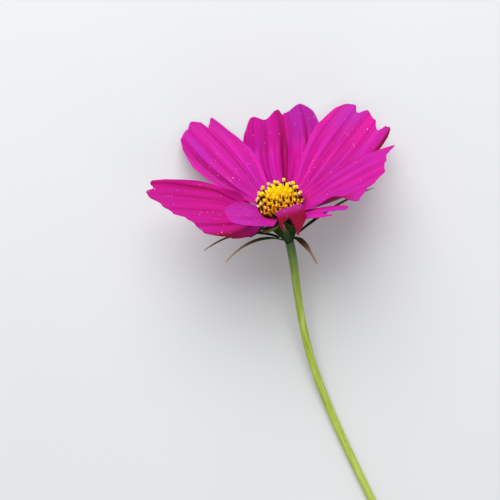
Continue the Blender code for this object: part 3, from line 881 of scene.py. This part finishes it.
DISC_SIZES = {
    "Count": FLORETS, "Pad Radius": 5.0 * MM, "Pad Top": PAD_TOP * MM, "Pad Fall": 0.04 / MM,
    "Dome Radius": 6.9 * MM, "Dome Foot": 1.7 * MM, "Half Angle": radians(85.0),
    "Turn": radians(137.508), "Inner Drop": 2.6 * MM, "Upright": 0.85,
    "Exposed": 2.5 * MM, "Length": TUBE_LENGTH * MM, "Unevenness": 0.22 * MM, "Seed": 5,
}
disc_nodes = [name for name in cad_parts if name.startswith("floret_")] + ["disc_middle"]
for part, profile, sides, lobes, at_top, inner_length, inner_girth, finish in (
    ("floret_tubes", TUBE_PROFILE, 20, 5, 0.0, 0.1, 0.5, tube_yellow),
    ("anther_columns", COLUMN_PROFILE, 10, 5, 1.0, 0.0, 0.0, anther_dark),
    ("pollen_balls", POLLEN_PROFILE, 14, 3, 1.0, 1.2, 0.3, pollen_gold),
):
    shape = turned_mesh(part + "_one", profile, sides, lobes)
    mesh = grow(part, shape, disc, {
        **DISC_SIZES, "At Top": at_top, "Inner Length": inner_length, "Inner Girth": inner_girth,
        "Material": finish,
    })
    mesh.transform(HEAD_FRAME)
    show(part, mesh, "disc_floret", *(disc_nodes if part == "floret_tubes" else ()))


# ------------------------------------------------------------------------- Dew and pollen
# What has settled on the petals: beads of dew, a few of them large, held by the waxy skin where
# they landed, and loose pollen fallen from the anthers around the disc.

specks = new_tree("scattered_specks", {
    "Facing": "Vector", "Middle": "Vector", "Reach": "Float", "Density": "Float",
    "Radius": "Float", "Flatness": "Float", "Seed": "Int", "Material": "Material",
})
spot = specks.node("GeometryNodeInputPosition")
away = spot.vector("DISTANCE", specks.of("Middle"), output="Value") / specks.of("Reach")
normal = specks.node("GeometryNodeInputNormal")
outer = normal.vector("DOT_PRODUCT", specks.of("Facing"), output="Value").between(0.0, 0.2)
cluster = spot.noise(85.0, detail=1.0).between(0.42, 0.62) * 0.9 + 0.1
scatter = specks.node("GeometryNodeDistributePointsOnFaces", {"distribute_method": "RANDOM"}, {
    "Mesh": specks.of("Geometry"), "Seed": specks.of("Seed"),
    "Density": outer * (1.0 - away.between(0.4, 1.0)) * cluster * specks.of("Density"),
})
bead = specks.node("GeometryNodeMeshUVSphere", {}, {"Segments": 8, "Rings": 5, "Radius": 1.0})
bead = specks.node("GeometryNodeSetShadeSmooth", {}, {"Geometry": bead})
radius = specks.node("FunctionNodeRandomValue", {"data_type": "FLOAT"}, {2: 0.5, 3: 1.0})
radius = radius ** 1.5 * specks.of("Radius")
beads = specks.node("GeometryNodeInstanceOnPoints", {}, {
    "Points": scatter, "Instance": bead, "Rotation": scatter.of("Rotation"),
    "Scale": specks.node("ShaderNodeCombineXYZ", {}, {
        "X": radius, "Y": radius, "Z": radius * specks.of("Flatness"),
    }),
})
end_tree(beads, specks)

dew, graph, shader = new_material("dew", 0.12, Specular_IOR_Level=0.6)
object_millimetres(graph).noise(0.4).between(0.35, 0.65).blend(
    (0.95, 0.40, 0.80), (1.0, 0.72, 0.92)
).to(shader.inputs["Base Color"])

pollen_dust, graph, shader = new_material("pollen_dust", 0.8, Specular_IOR_Level=0.1)
object_millimetres(graph).noise(1.5).between(0.35, 0.65).blend(
    (1.0, 0.45, 0.20), (1.0, 0.70, 0.35)
).to(shader.inputs["Base Color"])

joined = bmesh.new()
for petal in petals.values():
    joined.from_mesh(petal.data)
bloom = bpy.data.meshes.new("bloom")
joined.to_mesh(bloom)
joined.free()

for name, density, radius, flatness, reach, seed, finish in (
    ("dew_beads", 75000.0, 0.27, 0.6, 60.0, 4, dew),
    ("dew_drops", 2600.0, 0.50, 0.6, 60.0, 9, dew),
    ("pollen_dust", 110000.0, 0.17, 1.0, 20.0, 2, pollen_dust),
):
    mesh = grow(name, bloom, specks, {
        "Facing": head_axis, "Middle": HEAD_CENTRE, "Reach": reach * MM, "Density": density,
        "Radius": radius * MM, "Flatness": flatness, "Seed": seed, "Material": finish,
    })
    show(name, mesh, "petal")


# ----------------------------------------------------------------------------------- Stage
# A plain pale surface under soft studio light, with the camera over the flower's face.

FLOOR_SIZE = 3.0
bpy.ops.mesh.primitive_plane_add(size=FLOOR_SIZE, location=(0.0, 0.0, 0.0))
floor = bpy.context.object
floor.name = "floor"
paper, graph, shader = new_material("pale_paper", 0.9, Specular_IOR_Level=0.1)
object_millimetres(graph).noise(0.02).blend((0.60, 0.61, 0.60), (0.63, 0.63, 0.62)).to(
    shader.inputs["Base Color"]
)
floor.data.materials.append(paper)


def soft_light(name, place, size, watts, colour):
    """A square soft box at a place in metres, aimed at the head."""
    light = bpy.data.lights.new(name, "AREA")
    light.shape = "SQUARE"
    light.size = size
    light.energy = watts
    light.color = colour
    lamp = bpy.data.objects.new(name, light)
    bpy.context.scene.collection.objects.link(lamp)
    lamp.location = HEAD_CENTRE + Vector(place)
    lamp.rotation_euler = (-Vector(place)).to_track_quat("-Z", "Y").to_euler()


soft_light("sky_box", (-0.10, 0.55, 0.60), 0.7, 8.6, (0.96, 0.97, 1.0))
soft_light("fill_box", (0.25, -0.60, 0.55), 0.9, 2.1, (1.0, 0.98, 0.95))

world = bpy.data.worlds.new("studio")
bpy.context.scene.world = world
world.use_nodes = True
world.node_tree.nodes["Background"].inputs["Color"].default_value = (0.93, 0.95, 1.0, 1.0)
world.node_tree.nodes["Background"].inputs["Strength"].default_value = 0.54
bpy.context.scene.view_settings.view_transform = "Standard"

CAMERA_OFFSET = (-9.49, -13.46, 637.5)  # from the head's centre
lens = bpy.data.cameras.new("camera")
lens.lens = 150.0
lens.sensor_width = 36.0
lens.clip_start = 0.05
lens.clip_end = 10.0
camera = bpy.data.objects.new("camera", lens)
camera.location = HEAD_CENTRE + Vector(CAMERA_OFFSET) * MM
bpy.context.scene.collection.objects.link(camera)
bpy.context.scene.camera = camera
